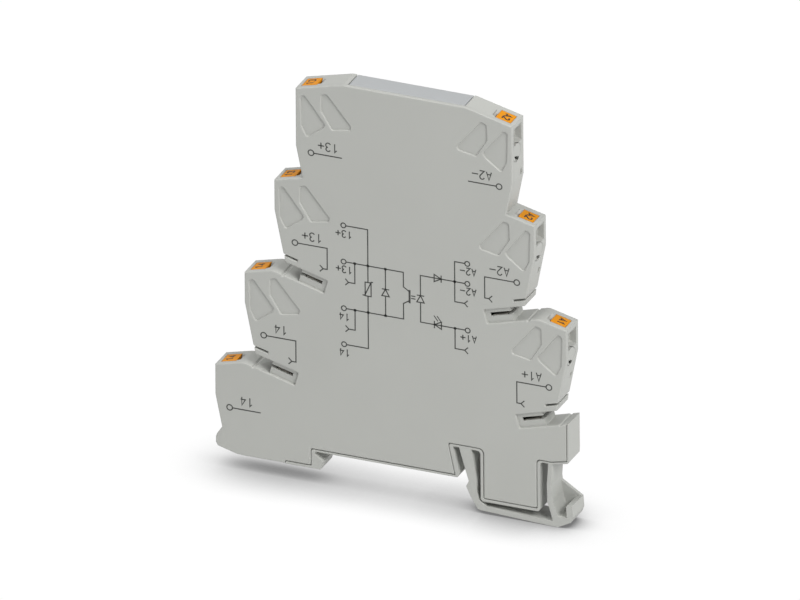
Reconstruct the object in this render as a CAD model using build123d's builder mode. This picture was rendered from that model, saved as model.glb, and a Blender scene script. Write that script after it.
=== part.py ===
from build123d import *
from math import atan2, cos, degrees, hypot, radians, sin, tan
import os

# Solid state relay module, slim rail-mounted housing with push-in terminals.
# Millimetres. X runs across the rail towards the latch foot, Y is the slim
# direction (cover face at -Y), Z points away from the rail. The origin is the
# middle of the rail seat.

# Housing
thickness = 6.2
cover_wall = 0.9
back_wall = 0.9
side_wall = 1.0
seam_gap = 0.15
fit_gap = 0.1

# Tiers of terminals on each side, measured from the line that they mirror about
mirror_x = 3.25
tier_reach = {-1: (24.75, 29.75, 36.7, 43.55), 1: (24.75, 29.75, 36.95, 44.15)}
tier_top = {-1: (84.55, 62.15, 39.15, 16.3), 1: (84.55, 62.15, 38.9, 15.65)}
plateau_top = 87.2
top_slope = 14.0
upright_long = 13.3
upright_short = 6.9
wall_taper = 11.2

# Bridge channels under the second and third tier
crest_inset = 6.45
crest_r = 2.5
channel_slope = 15.5
channel_height = 3.26
notch_depth = 6.0
channel_depth = 12.15
channel_recess = 0.55
channel_r = 0.3
groove_start = 2.0
groove_width = 0.8
groove_depth = 0.25
blade_slot_height = 0.8
blade_slot_lift = 1.95
blade_slot_end = 11.0
tongue_thickness = 1.25
tongue_slant = 0.5
tongue_set = 0.1
slit_end = 4.6
slit_height = 0.42
wall_end_chamfer = 0.3

# Foot and rail seat
seat_left = -17.5
seat_right = 15.0
hook_lip = 0.6
hook_tip = (-15.7, -2.1)
body_base = -4.0
lug_reach = 40.25
lug_height = 0.1
block_right = 40.45
block_base = 7.75
block_rim = 0.45
pillar_left = 20.3
pillar_right = 33.9
pillar_base = -4.6
pillar_rim = 0.75
corner_r = 0.8
latch_root = 7.1
latch_nose = 17.0
latch_strap = 0.95
foot_base = -7.45
foot_reach = 41.4
foot_web = 0.8
foot_bar = 1.1

# Terminals, measured inwards from the end face and down from its top corner
push_start = 0.9
push_length = 3.4
push_width = 3.5
push_skirt = 0.35
push_travel = 1.2
leg_start = 2.2
leg_length = 2.1
leg_thickness = 0.7
test_recess_r = 1.55
test_recess_depth = 1.4
test_recess_taper = 38.0
test_pit = (0.5, 1.1, 3.5)
entry_drop = 2.6
entry_tilt = 15.5
entry_r = 1.45
entry_length = 2.2
scoop_width = 4.2
scoop_depth = 1.5
scoop_height = 5.1
scoop_ramp = (0.55, 1.95)
wire_r = 1.0
tab_drop = 7.0
tab_r = 2.0
tab_shift = -0.5
tab_notch_corners = [(-1.75, 7.5), (-0.8, 9.3), (0.8, 8.6), (-0.2, 8.0)]
window_drop = 12.4
window_size = (1.1, 1.2, 0.4)
window_shift = 1.7

# Clamps and current bars
spring_thickness = 0.3
spring_width = 3.8
spring_base = 7.8
spring_back = 8.75
spring_toe = 1.6
spring_tip = 5.4
bend_r = 0.6
rib = 1.0
bar_thickness = 0.8
bar_width = 2.6
bar_inset = 10.4
contact_start = 3.9
contact_width = 1.9
prong_thickness = 0.45
prong_gap = 0.3
solder_pin = 1.0

# Circuit board and what it carries
board_left = -8.5
board_right = 15.0
board_bottom = 24.0
board_headroom = 4.7
board_thickness = 1.0
boss_r = 1.3
boss_pin_r = 0.5
boss_inset = 2.0
upper_solder_z = 70.0
lower_solder_z = 31.5
solder_inset = 1.3
knee_rise = 8.0
fork_rise = 4.0

# Clear cover over the lamp
clear_left = -9.8
clear_right = 16.9
clear_thickness = 1.2
clear_ledge = 1.0
clear_leg_drop = 2.6
lamp_x = 8.0

# Cover pins, and the relieved fields beside each terminal (depth in, drop)
pin_r = 0.8
pin_length = 2.0
pin_post_wall = 0.8
field_depth = 0.3
field_r = 0.5
outer_field = [(1.9, 1.2), (6.7, 7.35), (6.2, 8.25), (2.5, 11.05), (1.3, 8.55), (1.1, 1.9)]
inner_field = [(5.9, 0.55), (7.1, 0.15), (12.6, 6.75), (12.4, 7.55), (8.3, 8.35), (5.8, 4.25)]

# Packages on the board: centre, width, height, depth, leads a side, pitch, lead width
lead_foot = 0.9
lead_thickness = 0.25
lead_rise = 1.1
package_draft = 4.0
packages = {
    "optocoupler": ((5.5, 42.0), 6.4, 4.6, 2.1, 2, 2.54, 0.5),
    "output_transistor": ((-1.5, 58.5), 6.0, 6.6, 2.3, 2, 4.56, 0.8),
    "freewheel_diode": ((-3.5, 34.0), 4.3, 2.7, 2.1, 1, 1.0, 1.5),
    "input_diode": ((9.0, 58.0), 4.3, 2.7, 2.1, 1, 1.0, 1.5),
    "filter_capacitor": ((9.0, 66.0), 3.2, 2.5, 1.6, 1, 1.0, 2.2),
}
varistor_at = (-3.0, 46.5)
varistor_r = 3.4
varistor_depth = 2.2
varistor_edge = 0.5
chip_points = [(9.5, 52.5), (9.5, 49.5), (9.0, 61.8)]
chip_length = 3.2
chip_width = 1.6
chip_depth = 0.6
lamp_width = 3.0
lamp_height = 1.6
lamp_depth = 1.9

front = -thickness / 2
back = thickness / 2
seam_y = front + cover_wall
floor_y = back - back_wall
board_back = floor_y - bar_thickness
board_front = board_back - board_thickness
board_top = plateau_top - board_headroom
slit_low = channel_height + tongue_thickness
slit_high = slit_low + slit_height
push_end = push_start + push_length
channels = [(-1, 2), (-1, 3), (1, 2), (1, 3)]
terminals = [(-1, 0), (-1, 1), (-1, 2), (-1, 3), (1, 0), (1, 1), (1, 2)]
names = {-1: "left", 1: "right"}


def plane_at(y):
    """Upright plane whose sketches read (X, Z) and extrude towards the cover."""
    return Plane.XZ.offset(-y)


def side_point(side, depth, z):
    """Point measured inwards from the mirror line's far end of a tier."""
    return (mirror_x + side * depth, z)


def cell_point(side, tier, depth, drop):
    """Point in a terminal: depth in from its end face, drop below its top corner."""
    return (mirror_x + side * (tier_reach[side][tier] - depth), tier_top[side][tier] - drop)


def tier_crest(side, tier):
    """Distance and height of the crest where a tier's top turns down its channel."""
    rise = crest_inset * tan(radians(top_slope))
    return (tier_reach[side][tier] - crest_inset, tier_top[side][tier] + rise)


def channel_point(side, tier, along, lift):
    """Point in the bridge channel over a tier, from the crest down its floor."""
    slope = radians(channel_slope)
    crest_d, crest_z = tier_crest(side, tier)
    depth = crest_d - along * cos(slope) - lift * sin(slope)
    return (mirror_x + side * depth, crest_z - along * sin(slope) + lift * cos(slope))


def taper_along(side, tier, lift):
    """How far down a channel the tapered wall above it meets the line at a lift."""
    slope, taper = radians(channel_slope), tan(radians(wall_taper))
    crest_d, crest_z = tier_crest(side, tier)
    bend_z = tier_top[side][tier - 1] - upright_short
    wall_d = tier_reach[side][tier - 1] - taper * bend_z
    across = crest_d - lift * sin(slope) - wall_d - taper * (crest_z + lift * cos(slope))
    return across / (cos(slope) - taper * sin(slope))


def tier_edge(side, plain=False):
    """Outline of one side from the plateau down; plain leaves slits and grooves out."""
    reach, top = tier_reach[side], tier_top[side]
    rise = tan(radians(top_slope))
    taper = tan(radians(wall_taper))
    plateau_d = reach[0] - (plateau_top - top[0]) / rise
    points = [side_point(side, plateau_d, plateau_top), side_point(side, reach[0], top[0])]
    bend_z = top[0] - upright_long
    points.append(side_point(side, reach[0], bend_z))
    # The tapered wall meets the slope of the second tier here
    gap = (reach[1] - reach[0]) * rise + top[1]
    drop = (bend_z - gap) / (1 + taper * rise)
    points.append(side_point(side, reach[0] - drop * taper, bend_z - drop))
    for tier in (1, 2):
        points.append(side_point(side, reach[tier], top[tier]))
        points.append(side_point(side, reach[tier], top[tier] - upright_short))
        run = []
        if not plain:
            wall_end = slit_high + wall_end_chamfer
            run.append((taper_along(side, tier + 1, wall_end), wall_end))
            run.append((taper_along(side, tier + 1, slit_high) + tongue_set, slit_high))
        tip = taper_along(side, tier + 1, slit_low) + tongue_set
        run += [(tip, slit_low), (tip + tongue_slant, channel_height)]
        run += [(notch_depth, channel_height), (notch_depth, 0)]
        if not plain:
            groove_end = groove_start + groove_width
            run += [(groove_end, 0), (groove_end - groove_depth, -groove_depth)]
            run += [(groove_start + groove_depth, -groove_depth), (groove_start, 0)]
        if side < 0 or tier == 1:
            run.append((0, 0))
        points += [channel_point(side, tier + 1, along, lift) for along, lift in run]
    return points


def left_foot(plain=False):
    """Outline below the lowest left terminal, round the lug and the base."""
    taper = tan(radians(wall_taper))
    reach, top = tier_reach[-1][3], tier_top[-1][3]
    neck_z = lug_height + 1.8
    neck = side_point(-1, reach - (top - upright_short - neck_z) * taper, neck_z)
    wall = [side_point(-1, reach, top), side_point(-1, reach, top - upright_short), neck]
    if plain:
        return wall + [(neck[0], body_base)]
    return wall + [
        (-lug_reach + 0.25, lug_height),
        (-lug_reach, lug_height - 0.7),
        (-lug_reach, lug_height - 2.0),
        (-lug_reach + 0.45, lug_height - 2.8),
        (-lug_reach + 4.75, body_base + 0.12),
        (-lug_reach + 6.5, body_base),
    ]


def right_block(rim=0.0):
    """End wall and underside of the block over the latch foot, inside a rim."""
    right, base = block_right - rim, block_base + rim
    step = (mirror_x + tier_crest(1, 3)[0] - right) / cos(radians(channel_slope))
    return [
        channel_point(1, 3, step, 0),
        (right, base + 0.1),
        (right - 3.7, base - 0.7),
    ]


def rail_hook():
    """Fixed hook that grips the rail's edge, from the base to the seat."""
    return [
        (hook_tip[0] - 0.6, body_base),
        hook_tip,
        (seat_left, -hook_lip),
        (seat_left, 0),
    ]


def housing_outline():
    """Silhouette of the housing's plate, without the springing foot."""
    return (
        tier_edge(-1)
        + left_foot()
        + rail_hook()
        + [
            (seat_right, 0),
            (seat_right + 0.5, 1.0),
            (seat_right - 1.0, latch_root),
            (pillar_left, latch_root),
            (pillar_left, pillar_base),
            (pillar_right, pillar_base),
            (pillar_right, latch_root),
        ]
        + tier_edge_and_block()
    )


def foot_web_outline():
    """Thin web that closes the back of the release pocket."""
    return [
        (foot_reach - 5.0, foot_base + 8.5),
        (foot_reach - 0.3, foot_base + 5.45),
        (foot_reach - 0.3, foot_base + 2.6),
        (foot_reach - 4.2, foot_base + 2.0),
    ]


def tier_edge_and_block(plain=False, rim=0.0):
    """Right side from the block's underside up to the plateau."""
    return list(reversed(tier_edge(1, plain) + right_block(rim)))


def inset(points, amount):
    """Closed run of points with every edge moved inwards by an amount."""
    turns = [(a[0] - b[0]) * (a[1] + b[1]) for a, b in zip(points, points[1:] + points[:1])]
    turn = 1 if sum(turns) > 0 else -1
    moved = []
    for before, here, after in zip(points[-1:] + points[:-1], points, points[1:] + points[:1]):
        normals = []
        for a, b in ((before, here), (here, after)):
            length = hypot(b[0] - a[0], b[1] - a[1])
            normals.append((-turn * (b[1] - a[1]) / length, turn * (b[0] - a[0]) / length))
        (ax, az), (bx, bz) = normals
        reach = amount / (1 + ax * bx + az * bz)
        moved.append((here[0] + reach * (ax + bx), here[1] + reach * (az + bz)))
    return moved


def cover_outline(plain=False):
    """Silhouette of the cover plate, inside the housing's rim at the foot."""
    rim = pillar_rim
    return (
        tier_edge(-1, plain)
        + left_foot(plain)
        + [
            (seat_left - 7.0, body_base),
            (seat_left - 6.8, body_base + 0.65),
            (seat_left - 1.0, body_base + 0.65),
            (seat_left - 1.0, 0.55),
            (seat_right - 0.6, 0.55),
            (seat_right - 2.1, latch_root + 0.6),
            (pillar_left + rim, latch_root + 0.6),
            (pillar_left + rim, pillar_base + rim),
            (pillar_right - rim, pillar_base + rim),
            (pillar_right - rim, latch_root + block_rim),
        ]
        + tier_edge_and_block(plain, block_rim)
    )


def foot_outline():
    """Springing foot: latch arm, bottom bar and the lug that releases it."""
    return [
        (seat_right + 0.3, latch_root + 0.5),
        (seat_right + 1.0, 5.0),
        (seat_right + 1.9, 2.0),
        (latch_nose + 0.5, 0),
        (latch_nose + 0.6, -0.4),
        (latch_nose, -1.7),
        (latch_nose + 1.1, -4.0),
        (latch_nose + 2.7, foot_base + 0.75),
        (foot_reach - 4.9, foot_base),
        (foot_reach - 3.4, foot_base),
        (foot_reach - 0.5, foot_base + 1.55),
        (foot_reach, foot_base + 2.85),
        (foot_reach - 0.2, foot_base + 5.45),
        (foot_reach - 1.6, foot_base + 5.15),
        (foot_reach - 1.4, foot_base + 2.5),
        (foot_reach - 3.5, foot_base + 2.4),
        (foot_reach - 4.5, foot_base + 5.45),
        (foot_reach - 5.0, foot_base + 9.45),
        (foot_reach - 4.6, block_base),
        (foot_reach - 4.6 - latch_strap, block_base),
        (foot_reach - 5.0 - latch_strap, foot_base + 9.45),
        (foot_reach - 4.9 - latch_strap, foot_base + 5.45),
        (foot_reach - 4.5, foot_base + foot_bar),
        (pillar_left + 1.2, foot_base + foot_bar + 0.75),
        (pillar_left - 0.3, foot_base + foot_bar + 1.9),
        (pillar_left - 0.9, pillar_base + 2.0),
        (pillar_left - 0.9, 0),
        (pillar_left - 1.7, 5.0),
        (pillar_left - 2.2, latch_root + 0.5),
    ]


def face_of(points, mode=Mode.ADD):
    """Put the face inside a closed run of points into the sketch in hand."""
    with BuildLine() as edge:
        Polyline(*points, close=True)
    make_face(edge.edges(), mode=mode)


def soft_face(points, corners, amount=0.0):
    """Face inside a run of points moved inwards, with the named corners rounded."""
    moved = inset(points, amount) if amount else points
    with BuildSketch() as face:
        face_of(moved)
        for corner, radius in corners.items():
            place = moved[points.index(corner)]
            fillet(face.vertices().sort_by_distance(place)[0], radius)
    return face.sketch


def channel_boxes(start, end, low, high, mode=Mode.SUBTRACT, radius=0.0):
    """Boxes that lie along the bridge channels, in the sketch in hand."""
    for side, tier in channels:
        with Locations(channel_point(side, tier, (start + end) / 2, (low + high) / 2)):
            if radius:
                RectangleRounded(
                    end - start, high - low, radius, rotation=side * channel_slope, mode=mode
                )
            else:
                Rectangle(end - start, high - low, rotation=side * channel_slope, mode=mode)


def both_sides(pairs):
    """Both mirror images of each point, from its distance and height."""
    return [side_point(side, depth, z) for depth, z in pairs for side in (-1, 1)]


def cell_face(side, tier, points):
    """Face in a terminal from points of depth and drop."""
    face_of([cell_point(side, tier, depth, drop) for depth, drop in points])


def wire_drop(depth):
    """Drop of the conductor's axis at a depth behind the end face."""
    return entry_drop + depth * tan(radians(entry_tilt))


def leg_drop(depth):
    """Drop at which a button's leg meets the spring's clamping leg."""
    run = (spring_base - spring_tip_drop) / (spring_tip - spring_toe)
    lift = spring_thickness / 2 * hypot(1, run) + fit_gap
    return spring_base - (depth - spring_toe) * run - lift


spring_tip_drop = wire_drop(spring_tip) - wire_r + spring_thickness * 0.6 + fit_gap / 2
post_r = pin_r + fit_gap + pin_post_wall
post_points = both_sides([(21.0, 71.5), (25.0, 49.5), (31.9, 26.5)])
post_points += [(-10.0, 5.5), (pillar_left + 6.8, 2.0)]
boss_points = [
    (board_left + boss_inset, board_top - 2 * boss_inset),
    (board_right - boss_inset, board_top - 2 * boss_inset),
    (board_left + boss_inset, board_bottom + boss_inset),
    (board_right - boss_inset, board_bottom + boss_inset),
]
solder_x = {-1: board_left + solder_inset, 1: board_right - solder_inset}


def save(piece, name):
    """Label a finished piece and write its file."""
    piece.part.label = name
    export_step(piece.part, f"parts/{name}.step")


os.makedirs("parts", exist_ok=True)

# Corners that are rounded in the moulded outlines
crests = {channel_point(side, tier, 0, 0): crest_r for side, tier in channels[:3]}
housing_corners = {
    (pillar_left, latch_root): corner_r,
    (pillar_left, pillar_base): corner_r,
    (pillar_right, pillar_base): corner_r,
    (pillar_right, latch_root): corner_r,
    (block_right, block_base + 0.1): corner_r / 2,
}
seam_corners = {
    (seat_left - 1.0, body_base + 0.65): corner_r / 2,
    (seat_left - 1.0, 0.55): corner_r / 2,
    (seat_right - 2.1, latch_root + 0.6): corner_r / 2,
    (pillar_left + pillar_rim, latch_root + 0.6): 1.5 * corner_r,
    (pillar_left + pillar_rim, pillar_base + pillar_rim): corner_r / 2,
    (pillar_right - pillar_rim, pillar_base + pillar_rim): corner_r / 2,
    (pillar_right - pillar_rim, latch_root + block_rim): corner_r,
    (block_right - block_rim, block_base + block_rim + 0.1): corner_r / 2,
}
foot_corners = {
    (latch_nose + 2.7, foot_base + 0.75): corner_r,
    (foot_reach - 3.4, foot_base): corner_r,
    (foot_reach, foot_base + 2.85): corner_r / 2,
    (foot_reach - 3.5, foot_base + 2.4): corner_r / 2,
    (foot_reach - 4.5, foot_base + foot_bar): corner_r / 2,
    (foot_reach - 4.5, foot_base + 5.45): corner_r,
}

# Faces that the housing and its cover share
with BuildSketch() as plate_face:
    add(soft_face(housing_outline(), {**housing_corners, **crests}))
    channel_boxes(0, slit_end, slit_low, slit_high)

with BuildSketch() as cover_face:
    add(soft_face(cover_outline(), {**seam_corners, **crests}))
    channel_boxes(0, slit_end, slit_low, slit_high)

with BuildSketch() as cavity_face:
    face_of(inset(cover_outline(plain=True), side_wall))
    channel_boxes(0, slit_end + side_wall, channel_height, slit_high + side_wall)

with BuildSketch() as rim_face:
    add(soft_face(cover_outline(plain=True), seam_corners, -seam_gap))

with BuildSketch() as foot_face:
    add(soft_face(foot_outline(), foot_corners))

with BuildSketch() as field_face:
    for side, tier in terminals:
        if tier < 3:
            cell_face(side, tier, outer_field)
            cell_face(side, tier, inner_field)
    fillet(field_face.vertices(), field_r)


def tab_rods(radius):
    """Rods through the end walls where the cover's round tabs snap in."""
    with BuildPart() as rods:
        for side, tier in terminals:
            x, z = cell_point(side, tier, -1, tab_drop)
            with BuildSketch(Plane((x, tab_shift, z), z_dir=(-side, 0, 0))):
                Circle(radius)
            extrude(amount=1 + side_wall + 0.5)
    return rods.part


def end_cuts(points, drop, depth):
    """Cuts straight into every end wall from points of Y and drop, to a depth."""
    with BuildPart() as cuts:
        for side, tier in terminals:
            upright = upright_long if tier == 0 else upright_short
            lean = max(0, drop - upright) * tan(radians(wall_taper))
            x, z = cell_point(side, tier, -1, 0)
            with BuildSketch(Plane((x, 0, z), x_dir=(0, 1, 0), z_dir=(-side, 0, 0))):
                face_of([(y, side * low) for y, low in points])
            extrude(amount=1 + lean + depth)
    return cuts.part


# Housing: back wall, side walls, rail hook and springing foot in one moulding
with BuildPart() as housing:
    with BuildSketch(plane_at(back)):
        add(plate_face.sketch)
        add(foot_face.sketch)
    extrude(amount=back - seam_y)
    # Rim round the cover's edge over the rail, the foot and the block's end
    with BuildSketch(plane_at(seam_y)):
        add(plate_face.sketch)
        rim_left = seat_left - 7.0
        rim_top = channel_point(1, 3, 0, 0)[1] + 1.0
        with Locations(((rim_left + block_right + 1.0) / 2, 0)):
            Rectangle(block_right + 1.0 - rim_left, 2 * rim_top, mode=Mode.INTERSECT)
        add(foot_face.sketch)
        add(rim_face.sketch, mode=Mode.SUBTRACT)
    extrude(amount=cover_wall)
    with BuildSketch(plane_at(back)):
        face_of(foot_web_outline())
    extrude(amount=foot_web)
    with BuildSketch(plane_at(floor_y)):
        add(cavity_face.sketch)
    extrude(amount=floor_y - seam_y, mode=Mode.SUBTRACT)
    # Chamber floors, entry blocks, cover posts and board bosses
    for side, tier in terminals:
        rib_top = spring_base + spring_thickness / 2
        with BuildSketch(plane_at(floor_y)):
            cell_face(side, tier, [
                (side_wall / 2, rib_top),
                (spring_back + 0.3, rib_top),
                (spring_back + 0.3, rib_top + rib),
                (side_wall / 2, rib_top + rib),
            ])
        extrude(amount=floor_y - seam_y - fit_gap)
        block_top = push_skirt + push_travel + 0.2
        with BuildSketch(plane_at(floor_y)):
            cell_face(side, tier, [
                (side_wall / 2, block_top),
                (entry_length, block_top),
                (entry_length, wire_drop(entry_length) + entry_r + 0.5),
                (side_wall / 2, wire_drop(entry_length) + entry_r + 0.5),
            ])
        extrude(amount=floor_y - seam_y)
    with BuildSketch(plane_at(floor_y)):
        with Locations(*post_points):
            Circle(post_r)
    extrude(amount=floor_y - seam_y)
    with BuildSketch(plane_at(floor_y)):
        with Locations(*boss_points):
            Circle(boss_r)
    extrude(amount=floor_y - board_back)
    with BuildSketch(plane_at(board_back)):
        with Locations(*boss_points):
            Circle(boss_pin_r)
    extrude(amount=board_thickness + 0.5)
    with BuildSketch(plane_at(seam_y + pin_length + 0.3)):
        with Locations(*post_points):
            Circle(pin_r + fit_gap / 2)
    extrude(amount=pin_length + 0.3, mode=Mode.SUBTRACT)
    # Openings of each terminal
    for side, tier in terminals:
        with BuildSketch(plane_at(push_width / 2 + fit_gap)):
            cell_face(side, tier, [
                (push_start - fit_gap, -2.5),
                (push_end + fit_gap, -2.5),
                (push_end + fit_gap, push_skirt + push_travel + 0.15),
                (push_start - fit_gap, push_skirt + push_travel + 0.15),
            ])
        extrude(amount=push_width + 2 * fit_gap, mode=Mode.SUBTRACT)
        # Scoop in the end face, whose ramp stays below the button's shaft
        with BuildSketch(plane_at(scoop_width / 2)):
            cell_face(side, tier, [
                (-0.5, 0.1),
                scoop_ramp,
                (scoop_depth, scoop_ramp[1] + 0.25),
                (scoop_depth, scoop_height - 0.5),
                (0, scoop_height),
                (-0.5, scoop_height + 0.1),
            ])
        extrude(amount=scoop_width, mode=Mode.SUBTRACT)
        tilt = radians(entry_tilt)
        x, z = cell_point(side, tier, 0, entry_drop)
        with BuildSketch(Plane((x, 0, z), z_dir=(-side * cos(tilt), 0, -sin(tilt)))):
            Circle(entry_r)
        extrude(amount=entry_length + 1.5, mode=Mode.SUBTRACT)
        # Test recess behind the button, with a pit down its near corner
        x, z = cell_point(side, tier, push_end, -push_end * tan(radians(top_slope)))
        with BuildSketch(Plane.XY.offset(z + 0.2)):
            with Locations((x, 0)):
                Circle(test_recess_r)
        extrude(amount=-test_recess_depth, taper=test_recess_taper, mode=Mode.SUBTRACT)
        with BuildSketch(Plane.XY.offset(z)):
            with Locations((x - side * test_pit[0] / 2, (test_pit[1] - push_width) / 2)):
                Rectangle(test_pit[0], test_pit[1])
        extrude(amount=-test_pit[2], mode=Mode.SUBTRACT)
    add(tab_rods(tab_r + fit_gap), mode=Mode.SUBTRACT)
    add(end_cuts(tab_notch_corners, tab_drop, side_wall + 0.5), mode=Mode.SUBTRACT)
    window_y = [window_shift + sign * window_size[0] / 2 for sign in (-1, 1, 1, -1)]
    window_z = [window_drop + sign * window_size[1] / 2 for sign in (-1, -1, 1, 1)]
    window = end_cuts(list(zip(window_y, window_z)), window_drop, window_size[2])
    add(window, mode=Mode.SUBTRACT)
    # Bridge channels, open to both broad faces
    with BuildSketch(plane_at(back)):
        channel_boxes(notch_depth - 0.5, channel_depth, 0, channel_height, Mode.ADD, channel_r)
    extrude(amount=channel_recess, mode=Mode.SUBTRACT)
    with BuildSketch(plane_at(back)):
        slot_low = blade_slot_lift - blade_slot_height / 2
        slot_high = blade_slot_lift + blade_slot_height / 2
        channel_boxes(notch_depth - 0.5, blade_slot_end, slot_low, slot_high, Mode.ADD)
    extrude(amount=thickness, mode=Mode.SUBTRACT)
    # Seat of the clear cover
    with BuildSketch(plane_at(back)):
        face_of([
            (clear_left - fit_gap, plateau_top + 1),
            (clear_left - fit_gap, plateau_top - clear_thickness),
            (clear_right + fit_gap, plateau_top - clear_thickness),
            (clear_right + fit_gap, plateau_top + 1),
        ])
    extrude(amount=back - seam_y, mode=Mode.SUBTRACT)
    with BuildSketch(plane_at(floor_y)):
        face_of([
            (clear_left + clear_ledge, plateau_top),
            (clear_left + clear_ledge, plateau_top - 2 * clear_thickness),
            (clear_right - clear_ledge, plateau_top - 2 * clear_thickness),
            (clear_right - clear_ledge, plateau_top),
        ])
    extrude(amount=floor_y - seam_y, mode=Mode.SUBTRACT)
save(housing, "housing")


# Side cover: flat plate with relieved terminal fields, snap tabs and pins
with BuildPart() as side_cover:
    with BuildSketch(plane_at(seam_y)):
        add(cover_face.sketch)
    extrude(amount=cover_wall)
    with BuildSketch(plane_at(front + channel_recess)):
        channel_boxes(notch_depth - 0.5, channel_depth, 0, channel_height, Mode.ADD, channel_r)
    extrude(amount=channel_recess, mode=Mode.SUBTRACT)
    with BuildSketch(plane_at(seam_y)):
        channel_boxes(notch_depth - 0.5, blade_slot_end, slot_low, slot_high, Mode.ADD)
    extrude(amount=cover_wall, mode=Mode.SUBTRACT)
    with BuildSketch(plane_at(front + field_depth)):
        add(field_face.sketch)
    extrude(amount=field_depth, mode=Mode.SUBTRACT)
    with BuildSketch(plane_at(seam_y + pin_length)):
        with Locations(*post_points):
            Circle(pin_r)
    extrude(amount=pin_length)

# Round tabs that close the lower half of each terminal's end wall
with BuildPart() as snap_tabs:
    with BuildSketch(plane_at(tab_shift + tab_r + 0.1)):
        face_of(cover_outline(plain=True))
        face_of(inset(cover_outline(plain=True), side_wall), Mode.SUBTRACT)
    extrude(amount=tab_shift + tab_r + 0.1 - seam_y)
    add(tab_rods(tab_r), mode=Mode.INTERSECT)
    add(end_cuts(tab_notch_corners, tab_drop, side_wall + 0.5), mode=Mode.SUBTRACT)
with BuildPart() as whole_cover:
    add(side_cover.part)
    add(snap_tabs.part)
save(whole_cover, "side_cover")

# Clear cover over the lamp, with a light guide down to it
with BuildPart() as clear_cover:
    with BuildSketch(plane_at(back)):
        face_of([
            (clear_left, plateau_top),
            (clear_left, plateau_top - clear_thickness),
            (clear_right, plateau_top - clear_thickness),
            (clear_right, plateau_top),
        ])
    extrude(amount=back - seam_y)
    leg_x = (clear_left + clear_ledge + 0.6, clear_right - clear_ledge - 0.6)
    with BuildSketch(Plane.XY.offset(plateau_top - clear_thickness)):
        with Locations(*[(x, 0) for x in leg_x]):
            Rectangle(1.0, 3.0)
    extrude(amount=-clear_leg_drop)
    guide_drop = plateau_top - clear_thickness - board_top - 0.3
    with BuildSketch(Plane.XY.offset(plateau_top - clear_thickness)):
        with Locations((lamp_x, board_front - 1.0)):
            Rectangle(2.4, 1.6)
    extrude(amount=-guide_drop)
save(clear_cover, "clear_top_cover")

# Push buttons: a sloped head over two legs that straddle the conductor
for side, tier in terminals:
    rise = tan(radians(top_slope))
    with BuildPart() as pusher:
        with BuildSketch(plane_at(push_width / 2)):
            cell_face(side, tier, [
                (push_start, -push_start * rise),
                (push_end, -push_end * rise),
                (push_end, push_skirt),
                (push_start, push_skirt),
            ])
        extrude(amount=push_width)
        for y in (push_width / 2, leg_thickness - push_width / 2):
            with BuildSketch(plane_at(y)):
                cell_face(side, tier, [
                    (leg_start, push_skirt - 0.1),
                    (leg_start + leg_length, push_skirt - 0.1),
                    (leg_start + leg_length, leg_drop(leg_start + leg_length)),
                    (leg_start + 0.5, leg_drop(leg_start + 0.5)),
                    (leg_start, leg_drop(leg_start + 0.5)),
                ])
            extrude(amount=leg_thickness)
    save(pusher, f"push_button_{names[side]}_{tier + 1}")

# Clamping springs: one leaf bent under the conductor
for side, tier in terminals:
    with BuildPart() as spring:
        with BuildSketch(plane_at(spring_width / 2)):
            with BuildLine() as leaf:
                FilletPolyline(
                    cell_point(side, tier, spring_tip, spring_tip_drop),
                    cell_point(side, tier, spring_toe, spring_base),
                    cell_point(side, tier, spring_back, spring_base),
                    cell_point(side, tier, spring_back, wire_drop(spring_back) + 0.3),
                    radius=bend_r,
                )
            trace(leaf.edges(), line_width=spring_thickness)
        extrude(amount=spring_width)
    save(spring, f"clamp_spring_{names[side]}_{tier + 1}")


def strip(points, width):
    """Flat strip along a run of points, round at its ends and corners."""
    for a, b in zip(points, points[1:]):
        middle = ((a[0] + b[0]) / 2, (a[1] + b[1]) / 2)
        turn = degrees(atan2(b[1] - a[1], b[0] - a[0]))
        with Locations(middle):
            Rectangle(hypot(b[0] - a[0], b[1] - a[1]), width, rotation=turn)
    with Locations(*points):
        Circle(width / 2)


def bar_part(side, cells, fork, solder_z):
    """Current bar from its terminals to a bridge fork and a board pin."""
    lift = blade_slot_lift
    roots = [cell_point(side, tier, bar_inset, wire_drop(bar_inset) - 1.0) for tier in cells]
    knee = (roots[0][0], roots[1][1] + knee_rise if fork == 2 else solder_z - knee_rise + 1.0)
    fork_root = channel_point(side, fork, blade_slot_end - 1.2, lift)
    pin = (solder_x[side], solder_z)
    with BuildPart() as bar:
        with BuildSketch(plane_at(floor_y)):
            if fork == 2:
                low = (roots[1][0], fork_root[1] + fork_rise)
                strip([roots[0], knee, roots[1], low, fork_root], bar_width)
            elif len(roots) > 1:
                low = (fork_root[0], roots[1][1] - 1.0)
                strip([roots[0], knee, fork_root, low, roots[1]], bar_width)
            else:
                strip([roots[0], knee, fork_root], bar_width)
            strip([(roots[0][0], solder_z), pin], bar_width / 2)
        extrude(amount=bar_thickness)
        with BuildSketch(plane_at(board_back)):
            with Locations(pin):
                Circle(solder_pin / 2)
        extrude(amount=board_thickness + 0.5)
        for tier in cells:
            root_start = bar_inset - bar_width / 2
            with BuildSketch(plane_at(contact_width / 2)):
                cell_face(side, tier, contact_strip(contact_start, root_start + 1.0))
            extrude(amount=contact_width)
            with BuildSketch(plane_at(board_back)):
                cell_face(side, tier, contact_strip(root_start, root_start + 1.0))
            extrude(amount=board_back + contact_width / 2)
        for sign in (-1, 1):
            low = lift + sign * (prong_gap + prong_thickness / 2)
            x, z = channel_point(side, fork, (notch_depth + side_wall + blade_slot_end) / 2, low)
            length = blade_slot_end - notch_depth - side_wall - 0.4
            with BuildSketch(plane_at(board_back)):
                with Locations((x, z)):
                    Rectangle(length, prong_thickness, rotation=side * channel_slope)
            extrude(amount=board_back - seam_y - fit_gap)
    return bar


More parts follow.
